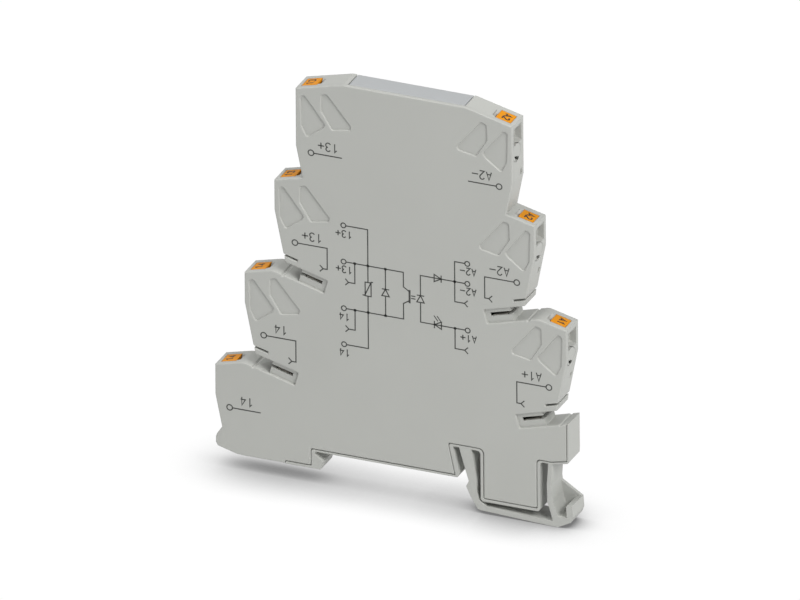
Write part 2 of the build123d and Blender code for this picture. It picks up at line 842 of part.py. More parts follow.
def contact_strip(start, end):
    """Strip over the conductor between two depths."""
    thick = bar_thickness / cos(radians(entry_tilt))
    over = wire_r / cos(radians(entry_tilt))
    return [
        (start, wire_drop(start) - over),
        (end, wire_drop(end) - over),
        (end, wire_drop(end) - over - thick),
        (start, wire_drop(start) - over - thick),
    ]


bars = {
    "output_bar_plus": (-1, (0, 1), 2, upper_solder_z),
    "output_bar_load": (-1, (2, 3), 3, lower_solder_z),
    "input_bar_minus": (1, (0, 1), 2, upper_solder_z),
    "input_bar_plus": (1, (2,), 3, lower_solder_z),
}
for name, plan in bars.items():
    save(bar_part(*plan), name)

# Circuit board on its bosses, pinned by the bars
with BuildPart() as circuit_board:
    with BuildSketch(plane_at(board_back)):
        with Locations(((board_left + board_right) / 2, (board_bottom + board_top) / 2)):
            Rectangle(board_right - board_left, board_top - board_bottom)
        with Locations(*boss_points):
            Circle(boss_pin_r + fit_gap / 2, mode=Mode.SUBTRACT)
        with Locations(*[(solder_x[s], z) for s in (-1, 1) for z in (upper_solder_z, lower_solder_z)]):
            Circle(solder_pin / 2 + fit_gap / 2, mode=Mode.SUBTRACT)
    extrude(amount=board_thickness)
save(circuit_board, "circuit_board")


def package(centre, width, height, depth, lead_count, pitch, size):
    """Moulded package with bent leads on both sides, standing on the board."""
    rows = [(place - (lead_count - 1) / 2) * pitch for place in range(lead_count)]
    foot_x = (width + lead_foot) / 2
    root_x = (width + lead_thickness) / 2
    with BuildPart() as block:
        with BuildSketch(plane_at(board_front)):
            with Locations(centre):
                Rectangle(width, height)
        extrude(amount=depth, taper=package_draft)
        with BuildSketch(plane_at(board_front)):
            with Locations(centre):
                with Locations(*[(side * foot_x, row) for side in (-1, 1) for row in rows]):
                    Rectangle(lead_foot, size)
        extrude(amount=lead_thickness)
        with BuildSketch(plane_at(board_front)):
            with Locations(centre):
                with Locations(*[(side * root_x, row) for side in (-1, 1) for row in rows]):
                    Rectangle(2 * lead_thickness, size)
        extrude(amount=lead_rise)
    return block


for name, plan in packages.items():
    save(package(*plan), name)

# Varistor: a thick round disc on two flat ends
with BuildPart() as varistor:
    with BuildSketch(plane_at(board_front)):
        with Locations(varistor_at):
            Circle(varistor_r)
    extrude(amount=varistor_depth)
    chamfer(varistor.faces().sort_by(Axis.Y)[0].edges(), varistor_edge)
save(varistor, "varistor")

# Chip resistors share one node as separate solids
with BuildPart() as chips:
    with BuildSketch(plane_at(board_front)):
        with Locations(*chip_points):
            Rectangle(chip_length, chip_width)
    extrude(amount=chip_depth)
save(chips, "chip_resistors")

# Status lamp, a side-looking chip at the board's upper edge
with BuildPart() as status_lamp:
    with BuildSketch(plane_at(board_front)):
        with Locations((lamp_x, board_top - lamp_height / 2)):
            Rectangle(lamp_width, lamp_height)
    extrude(amount=lamp_depth)
save(status_lamp, "status_lamp")
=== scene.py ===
"""Looks of a slim rail-mounted solid state relay module with push-in terminals.

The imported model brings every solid. This script gives each one its finish, puts the
ink on the cover and the buttons, and sets up the floor, the lamps and the camera.
"""
from __future__ import annotations

import logging
import math
from dataclasses import dataclass, field
from enum import Enum

import bmesh
import bpy
import numpy as np
from mathutils import Matrix, Vector


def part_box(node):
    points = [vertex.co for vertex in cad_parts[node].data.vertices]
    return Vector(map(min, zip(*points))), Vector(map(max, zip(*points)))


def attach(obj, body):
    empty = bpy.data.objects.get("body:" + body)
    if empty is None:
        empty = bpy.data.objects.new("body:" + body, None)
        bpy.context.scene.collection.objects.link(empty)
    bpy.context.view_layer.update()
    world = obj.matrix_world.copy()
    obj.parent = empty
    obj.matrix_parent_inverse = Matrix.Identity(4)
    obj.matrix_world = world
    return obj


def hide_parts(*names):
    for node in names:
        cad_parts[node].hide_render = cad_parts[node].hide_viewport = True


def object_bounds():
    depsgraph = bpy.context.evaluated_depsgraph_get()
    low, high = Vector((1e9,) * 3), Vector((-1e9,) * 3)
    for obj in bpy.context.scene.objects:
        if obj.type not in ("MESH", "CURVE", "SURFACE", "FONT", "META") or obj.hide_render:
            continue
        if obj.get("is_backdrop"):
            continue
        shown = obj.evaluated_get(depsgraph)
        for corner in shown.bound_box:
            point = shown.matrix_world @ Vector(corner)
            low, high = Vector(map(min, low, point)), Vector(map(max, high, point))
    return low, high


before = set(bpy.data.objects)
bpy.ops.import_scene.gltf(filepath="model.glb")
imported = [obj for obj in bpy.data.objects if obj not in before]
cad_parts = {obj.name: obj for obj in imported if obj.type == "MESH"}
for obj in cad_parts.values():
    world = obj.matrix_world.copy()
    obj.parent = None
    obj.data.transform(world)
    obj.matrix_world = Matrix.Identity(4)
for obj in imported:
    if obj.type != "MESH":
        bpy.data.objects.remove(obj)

MM = 0.001
LOG = logging.getLogger("relay_module")
Points = list[tuple[float, float]]
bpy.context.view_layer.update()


def linear(hex_colour: str) -> tuple[float, float, float, float]:
    """Turn an sRGB hex colour into linear light.

    Args:
        hex_colour: Six hex digits after a hash.

    Returns:
        Red, green, blue and alpha as a shader socket takes them.
    """
    parts = [int(hex_colour[i:i + 2], 16) / 255 for i in (1, 3, 5)]
    light = [c / 12.92 if c <= 0.04045 else ((c + 0.055) / 1.055) ** 2.4 for c in parts]
    return (*light, 1.0)


def add_node(tree: bpy.types.NodeTree, kind: str, links: dict | None = None,
             props: dict | None = None, **values: object) -> bpy.types.Node:
    """Add one shader node with its settings and links.

    Args:
        tree: Node tree that gets the node.
        kind: Node type, such as ShaderNodeTexNoise.
        links: Input name or index to the output socket that feeds it.
        props: Settings of the node itself.
        values: Input values, with underscores for the spaces in their names.

    Returns:
        The new node.
    """
    node = tree.nodes.new(kind)
    for name, value in (props or {}).items():
        setattr(node, name, value)
    for name, value in values.items():
        node.inputs[name.replace("_", " ")].default_value = value
    for name, socket in (links or {}).items():
        tree.links.new(socket, node.inputs[name])
    return node


def new_material(name: str) -> tuple[bpy.types.Material, bpy.types.NodeTree]:
    """Make an empty material.

    Args:
        name: Name of the material.

    Returns:
        The material and its node tree.
    """
    material = bpy.data.materials.new(name)
    material.use_nodes = True
    material.node_tree.nodes.clear()
    return material, material.node_tree


def backdrop_rays(tree: bpy.types.NodeTree) -> bpy.types.NodeSocket:
    """Tell the rays that show the backdrop from those that light the module.

    Args:
        tree: Node tree of the floor's material or of the world.

    Returns:
        A socket that is 1 where the backdrop is seen, mirrored or seen through glass.
    """
    path = add_node(tree, "ShaderNodeLightPath").outputs
    plain = add_node(tree, "ShaderNodeMath", {0: path["Is Camera Ray"], 1: path["Is Glossy Ray"]},
                     {"operation": "MAXIMUM"})
    return add_node(tree, "ShaderNodeMath", {0: plain.outputs[0], 1: path["Is Transmission Ray"]},
                    {"operation": "MAXIMUM"}).outputs[0]


@dataclass(frozen=True)
class MouldedPlastic:
    """Injection-moulded plastic whose mould was spark-eroded to a fine grain.

    The grain scatters the light into a broad soft sheen, edges keep the small radius
    of the mould, and the shade drifts a little over a few centimetres.
    """

    name: str
    colour: str
    shade: str
    roughness: float = 0.5
    grain_mm: float = 0.35
    grain_height_mm: float = 0.012
    sheen_spread: float = 0.06
    edge_mm: float = 0.2
    ior: float = 1.5

    def build(self) -> bpy.types.Material:
        """Build the material.

        Returns:
            The finished material.
        """
        material, tree = new_material(self.name)
        place = add_node(tree, "ShaderNodeTexCoord").outputs["Object"]
        drift = add_node(tree, "ShaderNodeTexNoise", {"Vector": place}, Scale=1 / (18 * MM), Detail=2.0)
        tint = add_node(tree, "ShaderNodeMix", {"Factor": drift.outputs["Fac"]}, {"data_type": "RGBA"})
        tint.inputs[6].default_value = linear(self.colour)
        tint.inputs[7].default_value = linear(self.shade)
        edge = add_node(tree, "ShaderNodeBevel", props={"samples": 6}, Radius=self.edge_mm * MM)
        grain = add_node(tree, "ShaderNodeTexNoise", {"Vector": place},
                         Scale=1 / (self.grain_mm * MM), Detail=3.0, Roughness=0.6)
        bump = add_node(tree, "ShaderNodeBump", {"Height": grain.outputs["Fac"], "Normal": edge.outputs[0]},
                        Strength=0.35, Distance=self.grain_height_mm * MM)
        sheen = add_node(tree, "ShaderNodeMapRange", {"Value": grain.outputs["Fac"]})
        sheen.inputs["To Min"].default_value = self.roughness - self.sheen_spread
        sheen.inputs["To Max"].default_value = self.roughness + self.sheen_spread
        skin = add_node(tree, "ShaderNodeBsdfPrincipled", {
            "Base Color": tint.outputs[2], "Normal": bump.outputs[0], "Roughness": sheen.outputs[0],
        }, IOR=self.ior)
        add_node(tree, "ShaderNodeOutputMaterial", {"Surface": skin.outputs[0]})
        return material


@dataclass(frozen=True)
class ClearPlastic:
    """Polycarbonate moulded with a fine matt skin, which blurs what lies under it."""

    name: str
    colour: str
    roughness: float
    transmission: float
    ior: float = 1.58

    def build(self) -> bpy.types.Material:
        """Build the material.

        Returns:
            The finished material.
        """
        material, tree = new_material(self.name)
        place = add_node(tree, "ShaderNodeTexCoord").outputs["Object"]
        wave = add_node(tree, "ShaderNodeTexNoise", {"Vector": place}, Scale=1 / (4 * MM), Detail=1.0)
        edge = add_node(tree, "ShaderNodeBevel", props={"samples": 4}, Radius=0.1 * MM)
        bump = add_node(tree, "ShaderNodeBump", {"Height": wave.outputs["Fac"], "Normal": edge.outputs[0]},
                        Strength=0.2, Distance=0.05 * MM)
        skin = add_node(tree, "ShaderNodeBsdfPrincipled", {"Normal": bump.outputs[0]},
                        Base_Color=linear(self.colour), Roughness=self.roughness,
                        Transmission_Weight=self.transmission, IOR=self.ior)
        add_node(tree, "ShaderNodeOutputMaterial", {"Surface": skin.outputs[0]})
        return material


@dataclass(frozen=True)
class RolledMetal:
    """Rolled strip metal, stamped and plated, with fine marks along the strip."""

    name: str
    colour: str
    roughness: float = 0.28
    brighter: float = 0.08
    duller: float = 0.1
    mark_mm: float = 0.12
    stretch: float = 8.0

    def build(self) -> bpy.types.Material:
        """Build the material.

        Returns:
            The finished material.
        """
        material, tree = new_material(self.name)
        place = add_node(tree, "ShaderNodeTexCoord").outputs["Object"]
        stretch = add_node(tree, "ShaderNodeMapping", {"Vector": place}, Scale=(1.0, self.stretch, 1.0))
        marks = add_node(tree, "ShaderNodeTexNoise", {"Vector": stretch.outputs[0]},
                         Scale=1 / (self.mark_mm * MM * self.stretch), Detail=4.0)
        bump = add_node(tree, "ShaderNodeBump", {"Height": marks.outputs["Fac"]},
                        Strength=0.25, Distance=0.01 * MM)
        gloss = add_node(tree, "ShaderNodeMapRange", {"Value": marks.outputs["Fac"]})
        gloss.inputs["To Min"].default_value = self.roughness - self.brighter
        gloss.inputs["To Max"].default_value = self.roughness + self.duller
        skin = add_node(tree, "ShaderNodeBsdfPrincipled", {
            "Normal": bump.outputs[0], "Roughness": gloss.outputs[0],
        }, Base_Color=linear(self.colour), Metallic=1.0)
        add_node(tree, "ShaderNodeOutputMaterial", {"Surface": skin.outputs[0]})
        return material


@dataclass(frozen=True)
class PadInk:
    """Pad-printed ink: a thin matt film, a little uneven where the pad lifted."""

    name: str
    colour: str
    faded: str

    def build(self) -> bpy.types.Material:
        """Build the material.

        Returns:
            The finished material.
        """
        material, tree = new_material(self.name)
        place = add_node(tree, "ShaderNodeTexCoord").outputs["Object"]
        wear = add_node(tree, "ShaderNodeTexNoise", {"Vector": place}, Scale=1 / (0.5 * MM), Detail=2.0)
        tint = add_node(tree, "ShaderNodeMix", {"Factor": wear.outputs["Fac"]}, {"data_type": "RGBA"})
        tint.inputs[6].default_value = linear(self.colour)
        tint.inputs[7].default_value = linear(self.faded)
        skin = add_node(tree, "ShaderNodeBsdfPrincipled", {"Base Color": tint.outputs[2]}, Roughness=0.6)
        add_node(tree, "ShaderNodeOutputMaterial", {"Surface": skin.outputs[0]})
        return material


# Housing and cover: moulded polyamide, an even satin grey
GREY_POLYAMIDE = MouldedPlastic("grey_polyamide", "#B2B3AE", "#ADAEA9")
# Push buttons: dyed through, a deep orange with little sheen
ORANGE_PBT = MouldedPlastic("orange_pbt", "#DC8E00", "#D58700", roughness=0.55, edge_mm=0.25, ior=1.35)
# Component packages: moulded epoxy, nearly black and dull
BLACK_EPOXY = MouldedPlastic("black_epoxy", "#232325", "#1C1C1E", roughness=0.45, grain_mm=0.12)
# Circuit board: solder mask over glass laminate, smooth and glossy
GREEN_MASK = MouldedPlastic("green_solder_mask", "#1E5B38", "#1A5233", roughness=0.3, grain_mm=0.6)
# Filter capacitor: fired ceramic, smooth and warm
TAN_CERAMIC = MouldedPlastic("tan_ceramic", "#A58A66", "#9B805D", roughness=0.35, grain_mm=0.1)
# Varistor: dipped lacquer, wet-looking with slow waves
BLUE_LACQUER = MouldedPlastic("blue_lacquer", "#24497F", "#1F4175", roughness=0.25, grain_mm=0.8)
# Status lamp: tinted lens, bright and glossy
YELLOW_LENS = MouldedPlastic("yellow_lens", "#E6D98A", "#DDCF7C", roughness=0.2, grain_mm=0.5)
# Cover over the lamp: frosted enough to hide what lies under it
CLEAR_COVER = ClearPlastic("clear_polycarbonate", "#BBBEBF", roughness=0.3, transmission=0.3)
# Clamping springs: rolled strip, bright
SPRING_STEEL = RolledMetal("spring_steel", "#C9CACC")
# Current bars: matt tin over stamped copper
TINNED_COPPER = RolledMetal("tinned_copper", "#D2D0CA", roughness=0.34)
# Print on the cover: dark grey, and on the buttons: dark brown over orange
GREY_INK = PadInk("grey_ink", "#393A37", "#444542")
BROWN_INK = PadInk("brown_ink", "#2C1803", "#3C2206")


def arc(x: float, y: float, rx: float, ry: float, start: float, end: float, count: int = 14) -> Points:
    """Points on part of an ellipse, from a start to an end angle in degrees."""
    turn = np.radians(np.linspace(start, end, count))
    return list(zip(x + rx * np.cos(turn), y + ry * np.sin(turn)))


GLYPHS: dict[str, list[Points]] = {
    "1": [[(0.12, 0.74), (0.34, 1.0), (0.34, 0.0)]],
    "2": [arc(0.3, 0.72, 0.26, 0.28, 165, -35) + [(0.04, 0.0), (0.58, 0.0)]],
    "3": [arc(0.29, 0.75, 0.25, 0.25, 160, -80), arc(0.29, 0.26, 0.28, 0.26, 80, -160)],
    "4": [[(0.46, 0.0), (0.46, 1.0), (0.04, 0.28), (0.6, 0.28)]],
    "A": [[(0.02, 0.0), (0.31, 1.0), (0.6, 0.0)], [(0.12, 0.3), (0.5, 0.3)]],
    "+": [[(-0.06, 0.46), (0.68, 0.46)], [(0.31, 0.09), (0.31, 0.83)]],
    "-": [[(-0.06, 0.46), (0.68, 0.46)]],
}
GLYPH_STEP = 0.82
GLYPH_WIDTH = 0.62
INK_LIFT_MM = 0.015


def ribbon(path: Points, width: float, closed: bool = False) -> tuple[np.ndarray, np.ndarray]:
    """Edges of a flat ribbon along a path, mitred at its corners.

    Each point moves sideways by half the width along the mean of the normals of its
    two runs, divided by the cosine of half the turn, so every run keeps its width.

    Args:
        path: Points of the middle line.
        width: Width of the ribbon.
        closed: Whether the last point joins the first.

    Returns:
        The left and the right edge, one row a point.
    """
    line = np.asarray(path, float)
    after = np.roll(line, -1, 0) - line
    if not closed:
        after[-1] = after[-2]
    after /= np.linalg.norm(after, axis=1, keepdims=True)
    before = np.roll(after, 1, 0)
    if not closed:
        before[0] = after[0]
    side = np.stack([-(after + before)[:, 1], (after + before)[:, 0]], 1)
    side /= np.maximum(np.sum(side * np.stack([-after[:, 1], after[:, 0]], 1), 1, keepdims=True), 0.3)
    return line + side * width / 2, line - side * width / 2


@dataclass
class Print:
    """Ink strokes on a flat face, gathered into one mesh of thin closed ribbons."""

    line_mm: float = 0.26
    film_mm: float = 0.02
    verts: list[np.ndarray] = field(default_factory=list)
    faces: list[list[int]] = field(default_factory=list)
    count: int = 0

    def stroke(self, path: Points, width: float | None = None, closed: bool = False) -> None:
        """Add one stroke: a rectangle of line by film carried along the path.

        Args:
            path: Points in the face's plane, in millimetres.
            width: Line width in millimetres, or None for the usual one.
            closed: Whether the stroke ends where it starts.
        """
        left, right = ribbon(path, width or self.line_mm, closed)
        rows = len(left)
        grid = np.zeros((rows, 4, 3))
        for corner, (edge, depth) in enumerate(((left, 0), (right, 0), (right, 1), (left, 1))):
            grid[:, corner, 0] = edge[:, 0]
            grid[:, corner, 1] = edge[:, 1]
            grid[:, corner, 2] = -depth * self.film_mm
        index = self.count + np.arange(rows * 4).reshape(rows, 4)
        ends = rows if closed else rows - 1
        this, that = index, np.roll(index, -1, 0)
        quads = np.stack([this, np.roll(this, -1, 1), np.roll(that, -1, 1), that], -1)[:ends]
        self.faces += quads.reshape(-1, 4).tolist()
        if not closed:
            self.faces.append(index[0][::-1].tolist())
            self.faces.append(index[-1].tolist())
        self.verts.append(grid.reshape(-1, 3))
        self.count += rows * 4

    def ring(self, x: float, y: float, radius: float) -> None:
        """Add a terminal's circle."""
        self.stroke(arc(x, y, radius, radius, 0, 345, 24), closed=True)

    def dot(self, x: float, y: float, radius: float = 0.28) -> None:
        """Add a junction's dot, a short stroke as wide as it is long."""
        self.stroke([(x - radius, y), (x + radius, y)], 2 * radius)

    def label(self, text: str, x: float, y: float, height: float, turn: float = 180.0,
              width: float | None = None) -> None:
        """Write a short terminal number.

        Args:
            text: Characters that GLYPHS holds.
            x: Middle of the label.
            y: Middle of the label.
            height: Height of the characters.
            turn: Turn of the label in degrees.
            width: Line width, or None for the usual one.
        """
        c, s = math.cos(math.radians(turn)), math.sin(math.radians(turn))
        span = GLYPH_STEP * len(text) - (GLYPH_STEP - GLYPH_WIDTH)
        for place, mark in enumerate(text):
            for path in GLYPHS[mark]:
                local = np.asarray(path) + (place * GLYPH_STEP - span / 2, -0.5)
                local = local * height
                spun = local @ np.array([[c, s], [-s, c]]) + (x, y)
                self.stroke([tuple(p) for p in spun], width)

    def finish(self, name: str, origin: Vector, right: Vector, up: Vector, ink: bpy.types.Material,
               body: str) -> bpy.types.Object:
        """Turn the strokes into a piece on its face.

        Args:
            name: Name of the piece.
            origin: Point of the face where the plane's zero lies, in metres.
            right: Direction of the plane's first axis.
            up: Direction of the plane's second axis.
            ink: Material of the strokes.
            body: Body that the piece rides on.

        Returns:
            The new object.
        """
        flat = np.concatenate(self.verts) * MM
        axes = np.array([right, up, right.cross(up)])
        mesh = bpy.data.meshes.new(name)
        mesh.from_pydata((flat @ axes + np.array(origin)).tolist(), [], self.faces)
        mesh.materials.append(ink)
        mesh.update()
        piece = bpy.data.objects.new(name, mesh)
        bpy.context.collection.objects.link(piece)
        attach(piece, body)
        LOG.info("%s: %d strokes on %s", name, len(self.verts), body)
        return piece


class Side(Enum):
    """Side of the line that the terminals mirror about."""

    LEFT = -1
    RIGHT = 1


@dataclass
class CoverPrint:
    """Circuit diagram and terminal numbers printed upside down on the cover face."""

    number_mm: float = 1.95
    small_mm: float = 1.6
    number_in_mm: float = 3.9
    number_up_mm: float = 2.0
    ring_mm: float = 0.64
    small_ring_mm: float = 0.55
    fork_mm: float = 0.75
    line_mm: float = 7.1
    bridge_mm: float = 7.35
    drop_mm: float = 4.95
    hook_mm: float = 0.95
    upper: float = 45.9
    lower: float = 34.95
    middle: float = 40.35

    def fork(self, ink: Print, x: float, y: float, way: int) -> None:
        """Draw a bridge contact, two short tips that open away from the line's end.

        Args:
            ink: Print that gets the strokes.
            x: End of the line.
            y: End of the line.
            way: Which way the tips open.
        """
        tip = x + way * self.fork_mm
        ink.stroke([(tip, y + self.fork_mm), (x, y), (tip, y - self.fork_mm)])

    def terminals(self, ink: Print) -> None:
        """Draw each terminal's circle, its line and its number.

        Args:
            ink: Print that gets the strokes.
        """
        plain = [(-18.0, 70.1, "13+", Side.LEFT), (-37.0, 6.8, "14", Side.LEFT),
                 (25.0, 70.1, "A2-", Side.RIGHT)]
        bridged = [(-21.8, 48.3, "13+", Side.LEFT), (-29.1, 25.2, "14", Side.LEFT),
                   (28.9, 48.3, "A2-", Side.RIGHT), (36.1, 25.0, "A1+", Side.RIGHT)]
        for x, y, text, side in plain:
            way = -side.value
            ink.ring(x, y, self.ring_mm)
            ink.stroke([(x + way * self.ring_mm, y), (x + way * self.line_mm, y)])
            ink.label(text, x + way * self.number_in_mm, y + self.number_up_mm, self.number_mm)
        for x, y, text, side in bridged:
            way = -side.value
            ink.ring(x, y, self.ring_mm)
            turn, low = x + way * self.bridge_mm, y - self.drop_mm
            end = turn - way * self.hook_mm
            ink.stroke([(x + way * self.ring_mm, y), (turn, y), (turn, low), (end, low)])
            self.fork(ink, end, low, -way)
            ink.label(text, x + way * self.number_in_mm, y + self.number_up_mm, self.number_mm)

    def diode(self, ink: Print, x: float, y: float, upright: bool, way: int = 1, size: float = 0.85) -> None:
        """Draw a diode: a triangle with a bar at its tip.

        Args:
            ink: Print that gets the strokes.
            x: Middle of the symbol.
            y: Middle of the symbol.
            upright: Whether its line runs up, not across.
            way: Which way the tip points.
            size: Half the triangle's base.
        """
        base, tip = -0.8 * way, 0.8 * way
        outline = [(base, -size), (base, size), (tip, 0.0)]
        bar = [(tip, -size), (tip, size)]
        if upright:
            outline, bar = [(b, a) for a, b in outline], [(b, a) for a, b in bar]
        ink.stroke([(x + a, y + b) for a, b in outline], closed=True)
        ink.stroke([(x + a, y + b) for a, b in bar])

    def output_side(self, ink: Print) -> None:
        """Draw the switched side: varistor, freewheel diode and output transistor.

        Args:
            ink: Print that gets the strokes.
        """
        top, low, left = 54.4, 26.5, -10.7
        start = left + self.small_ring_mm
        bridge, varistor, diode = -8.15, -5.15, -1.15
        collector, base = 2.95, 4.35
        for y in (top, self.upper, self.lower, low):
            ink.ring(left, y, self.small_ring_mm)
        for y, text in ((52.4, "13+"), (44.1, "13+"), (33.0, "14"), (24.6, "14")):
            ink.label(text, left + 0.1, y, self.small_mm)
        ink.stroke([(start, top), (varistor, top), (varistor, 42.0)])
        ink.stroke([(varistor, 38.8), (varistor, low), (start, low)])
        ink.stroke([(-5.8, 38.8), (-5.8, 42.0), (-4.45, 42.0), (-4.45, 38.8)], closed=True)
        ink.stroke([(-6.4, 38.9), (-5.9, 38.9), (-4.4, 42.2), (-4.0, 42.2)])
        ink.stroke([(start, self.upper), (collector, self.upper), (collector, 42.5), (base, 41.6)])
        ink.stroke([(start, self.lower), (collector, self.lower), (collector, 38.6), (base, 39.5)])
        ink.stroke([(base, 42.0), (base, 38.9)], 0.45)
        ink.stroke([(diode, self.upper), (diode, 41.2)])
        ink.stroke([(diode, self.lower), (diode, 39.5)])
        self.diode(ink, diode, self.middle, True)
        for y in (self.upper, self.lower):
            ink.stroke([(bridge, y), (bridge, y - 4.7), (-9.6, y - 4.7)])
            self.fork(ink, -9.6, y - 4.7, -1)
            for x in (bridge, varistor, diode):
                ink.dot(x, y)

    def input_side(self, ink: Print) -> None:
        """Draw the control side: the two lamps, the guard diode and its terminals.

        Args:
            ink: Print that gets the strokes.
        """
        top, right = 50.6, 17.6
        start = right - self.small_ring_mm
        bridge, tip, lamp, guard = 14.7, 16.9, 6.85, 10.8
        for y in (top, self.upper, self.lower):
            ink.ring(right, y, self.small_ring_mm)
        for y, text in ((48.8, "A2-"), (44.1, "A2-"), (33.1, "A1+")):
            ink.label(text, right + 0.2, y, self.small_mm)
        ink.stroke([(start, self.upper), (lamp, self.upper), (lamp, 41.2)])
        ink.stroke([(start, self.lower), (lamp, self.lower), (lamp, 39.5)])
        self.diode(ink, lamp, self.middle, True)
        self.diode(ink, guard, self.upper, False)
        self.diode(ink, guard, self.lower, False, -1)
        for x in (9.9, 10.6):
            ink.stroke([(x + 0.9, self.lower + 0.9), (x, self.lower + 2.1)], 0.22)
        for y in (40.1, 40.7):
            ink.stroke([(4.7, y), (5.7, y)], 0.25)
        ink.stroke([(start, top), (bridge, top), (bridge, 41.2), (tip, 41.2)])
        self.fork(ink, tip, 41.2, 1)
        ink.stroke([(bridge, self.lower), (bridge, 30.2), (tip, 30.2)])
        self.fork(ink, tip, 30.2, 1)
        for y in (self.upper, self.lower):
            ink.dot(bridge, y)

    def build(self) -> None:
        """Print the cover face."""
        low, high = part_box("side_cover")
        face = Vector((0, low[1] - INK_LIFT_MM * MM, 0))
        ink = GREY_INK.build()
        for name, draw in (("terminal_numbers", self.terminals), ("output_circuit", self.output_side),
                           ("input_circuit", self.input_side)):
            sheet = Print()
            draw(sheet)
            sheet.finish(f"print_{name}", face, Vector((1, 0, 0)), Vector((0, 0, 1)), ink, "module")


@dataclass
class ButtonPrint:
    """Number on the sloped head of each push button."""

    slope_deg: float = 14.0
    size_mm: float = 1.55
    line_mm: float = 0.36
    outward_mm: float = 0.25
    numbers: dict[str, str] = field(default_factory=lambda: {
        "left_1": "13", "left_2": "13", "left_3": "14", "left_4": "14",
        "right_1": "A2", "right_2": "A2", "right_3": "A1"})

    def build(self) -> None:
        """Print every button."""
        ink = BROWN_INK.build()
        for place, text in self.numbers.items():
            low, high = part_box(f"push_button_{place}")
            side = -1 if place.startswith("left") else 1
            tilt = math.radians(self.slope_deg)
            right = Vector((math.cos(tilt), 0, -side * math.sin(tilt)))
            middle = Vector(((low[0] + high[0]) / 2, 0, high[2] - (high[0] - low[0]) / 2 * math.tan(tilt)))
            middle += right.cross(Vector((0, 1, 0))) * INK_LIFT_MM * MM
            mark = Print(line_mm=self.line_mm)
            mark.label(text, side * self.outward_mm, 0, self.size_mm, turn=-90.0 * side)
            mark.finish(f"print_button_{place}", middle, right, Vector((0, 1, 0)), ink, f"button_{place}")


@dataclass
class SoftEdge:
    """Mould radius along a node's sharp edges, on a copy of its mesh.

    An end gap draws both ends of the copy in, so that its joint line shows.
    """

    node: str
    body: str
    radius_mm: float = 0.2
    front_only: bool = True
    end_gap_mm: float = 0.0
    weld_mm: float = 0.0005
    flat_deg: float = 1.0
    sharp_deg: float = 40.0

    def build(self) -> None:
        """Copy the node, weld it, round its edges and let the copy stand for it."""
        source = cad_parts[self.node]
        shape = bmesh.new()
        shape.from_mesh(source.data)
        bmesh.ops.remove_doubles(shape, verts=shape.verts, dist=self.weld_mm * MM)
        bmesh.ops.dissolve_limit(shape, angle_limit=math.radians(self.flat_deg),
                                 verts=shape.verts, edges=shape.edges)
        low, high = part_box(self.node)
        half = (high[0] - low[0]) / 2
        bmesh.ops.scale(shape, vec=(1 - self.end_gap_mm * MM / half, 1, 1), verts=shape.verts,
                        space=Matrix.Translation((-(low[0] + high[0]) / 2, 0, 0)))
        front = min(v.co.y for v in shape.verts)
        edges = [e for e in shape.edges
                 if e.calc_face_angle(0.0) > math.radians(self.sharp_deg) and not
                 (self.front_only and any(v.co.y - front > self.weld_mm * MM for v in e.verts))]
        bmesh.ops.bevel(shape, geom=edges, offset=self.radius_mm * MM, segments=2, profile=0.5,
                        affect="EDGES", clamp_overlap=False)
        bmesh.ops.triangulate(shape, faces=shape.faces)
        mesh = bpy.data.meshes.new(f"{self.node}_soft")
        shape.to_mesh(mesh)
        shape.free()
        for material in source.data.materials:
            mesh.materials.append(material)
        piece = bpy.data.objects.new(f"{self.node}_soft", mesh)
        bpy.context.collection.objects.link(piece)
        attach(piece, self.body)
        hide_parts(self.node)
        LOG.info("%s: %d edges rounded", self.node, len(edges))


@dataclass
class Dress:
    """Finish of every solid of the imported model."""

    def build(self) -> None:
        """Give each node its material by its name."""
        finishes = {
            "housing": GREY_POLYAMIDE, "side_cover": GREY_POLYAMIDE, "clear_top_cover": CLEAR_COVER,
            "push_button": ORANGE_PBT, "clamp_spring": SPRING_STEEL, "output_bar": TINNED_COPPER,
            "input_bar": TINNED_COPPER, "circuit_board": GREEN_MASK, "varistor": BLUE_LACQUER,
            "filter_capacitor": TAN_CERAMIC, "status_lamp": YELLOW_LENS,
        }
        made: dict[str, bpy.types.Material] = {}
        for name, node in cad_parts.items():
            finish = next((f for start, f in finishes.items() if name.startswith(start)), BLACK_EPOXY)
            if finish.name not in made:
                made[finish.name] = finish.build()
            node.data.materials.clear()
            node.data.materials.append(made[finish.name])
            LOG.info("%s dressed in %s", name, finish.name)


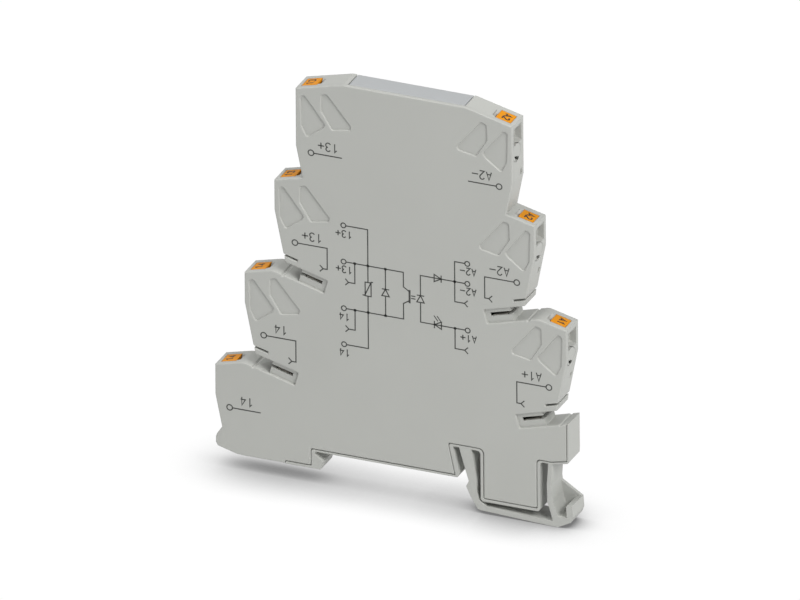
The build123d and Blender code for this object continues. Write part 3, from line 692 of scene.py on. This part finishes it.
@dataclass
class Studio:
    """White floor, soft lamps and the camera of the reference view."""

    image_px: tuple[int, int] = (800, 600)
    azimuth_deg: float = 23.0
    elevation_deg: float = 26.2
    roll_deg: float = -0.384
    px_per_mm: float = 4.747
    seat_px: tuple[float, float] = (391.7, 465.5)
    camera_mm: float = 400.0
    aim_mm: float = 40.0
    floor_drop_mm: float = 0.05
    # Reach and strength map of the painted shadow on the floor
    painted_shadow_mm: float = 14.0
    painted_shadow_map: tuple[float, float, float, float] = (0.3, 0.97, 0.18, 1.01)

    def camera(self) -> None:
        """Place the camera so that the rail seat's front edge lies at its pixel.

        The reference shows no perspective, so the camera is orthographic.
        """
        low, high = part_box("side_cover")
        a, e, roll = (math.radians(v) for v in (self.azimuth_deg, self.elevation_deg, self.roll_deg))
        right = Vector((math.cos(a), math.sin(a), 0))
        up = Vector((-math.sin(a) * math.sin(e), math.cos(a) * math.sin(e), math.cos(e)))
        right, up = (right * math.cos(roll) + up * math.sin(roll),
                     up * math.cos(roll) - right * math.sin(roll))
        back = right.cross(up)
        across = (self.image_px[0] / 2 - self.seat_px[0]) / self.px_per_mm * MM
        rise = (self.seat_px[1] - self.image_px[1] / 2) / self.px_per_mm * MM
        target = Vector((0, low[1], 0)) + right * across + up * rise
        data = bpy.data.cameras.new("camera")
        data.type, data.ortho_scale = "ORTHO", self.image_px[0] / self.px_per_mm * MM
        data.clip_start, data.clip_end = 0.01, 10.0
        camera = bpy.data.objects.new("camera", data)
        camera.matrix_world = Matrix.Translation(target + back * self.camera_mm * MM) @ Matrix(
            (right, up, back)).transposed().to_4x4()
        bpy.context.collection.objects.link(camera)
        bpy.context.scene.camera = camera

    def floor(self) -> None:
        """Lay a white floor under the foot, with a painted soft shadow where the module nears it."""
        low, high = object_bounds()
        size, z = 4.0, low[2] - self.floor_drop_mm * MM
        mesh = bpy.data.meshes.new("floor")
        corners = [(-size, -size, z), (size, -size, z), (size, size, z), (-size, size, z)]
        mesh.from_pydata(corners, [], [(0, 1, 2, 3)])
        material, tree = new_material("white_floor")
        skin = add_node(tree, "ShaderNodeBsdfDiffuse", Color=(0.9, 0.9, 0.9, 1.0))
        # Painted shadow: the floor's glow seen by the camera darkens by ambient occlusion near the module,
        # not by the lamps
        near = add_node(tree, "ShaderNodeAmbientOcclusion", props={"samples": 16},
                        Distance=self.painted_shadow_mm * MM)
        shade = add_node(tree, "ShaderNodeMapRange", {"Value": near.outputs["AO"]})
        for socket, value in zip(("From Min", "From Max", "To Min", "To Max"), self.painted_shadow_map):
            shade.inputs[socket].default_value = value
        glow = add_node(tree, "ShaderNodeEmission", {"Strength": shade.outputs[0]}, Color=(1, 1, 1, 1))
        pick = add_node(tree, "ShaderNodeMixShader",
                        {0: backdrop_rays(tree), 1: skin.outputs[0], 2: glow.outputs[0]})
        add_node(tree, "ShaderNodeOutputMaterial", {"Surface": pick.outputs[0]})
        mesh.materials.append(material)
        floor = bpy.data.objects.new("floor", mesh)
        bpy.context.collection.objects.link(floor)
        floor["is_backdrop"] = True

    def lamp(self, name: str, place: tuple[float, float, float], size: float, power: float) -> None:
        """Hang a square lamp that faces the module.

        Args:
            name: Name of the lamp.
            place: Its place in metres.
            size: Length of its side in metres.
            power: Its power in watts.
        """
        data = bpy.data.lights.new(name, "AREA")
        data.size, data.energy = size, power
        lamp = bpy.data.objects.new(name, data)
        lamp.location = place
        aim = Vector((0, 0, self.aim_mm * MM)) - Vector(place)
        lamp.rotation_euler = aim.to_track_quat("-Z", "Y").to_euler()
        bpy.context.collection.objects.link(lamp)

    def build(self) -> None:
        """Set the stage, the light and the camera."""
        scene = bpy.context.scene
        scene.view_settings.view_transform = "Standard"
        world = bpy.data.worlds.new("studio")
        scene.world = world
        world.use_nodes = True
        world.node_tree.nodes.clear()
        tree = world.node_tree
        fill = add_node(tree, "ShaderNodeBackground", Color=(0.97, 0.98, 1.0, 1.0), Strength=0.25)
        white = add_node(tree, "ShaderNodeBackground", Color=(1, 1, 1, 1), Strength=1.0)
        pick = add_node(tree, "ShaderNodeMixShader",
                        {0: backdrop_rays(tree), 1: fill.outputs[0], 2: white.outputs[0]})
        add_node(tree, "ShaderNodeOutputWorld", {"Surface": pick.outputs[0]})
        self.lamp("key", (0.8, -0.45, 0.84), size=0.5, power=11.5)
        self.lamp("top", (-0.35, -0.2, 1.1), size=0.6, power=6.0)
        self.floor()
        self.camera()


def main() -> None:
    """Dress the module and set up its studio."""
    logging.basicConfig(level=logging.INFO, format="%(message)s")
    for part in (Dress(), SoftEdge("side_cover", "module"),
                 SoftEdge("clear_top_cover", "module", radius_mm=0.15, front_only=False, end_gap_mm=0.12),
                 CoverPrint(), ButtonPrint(), Studio()):
        part.build()


if __name__ == "__main__":
    main()
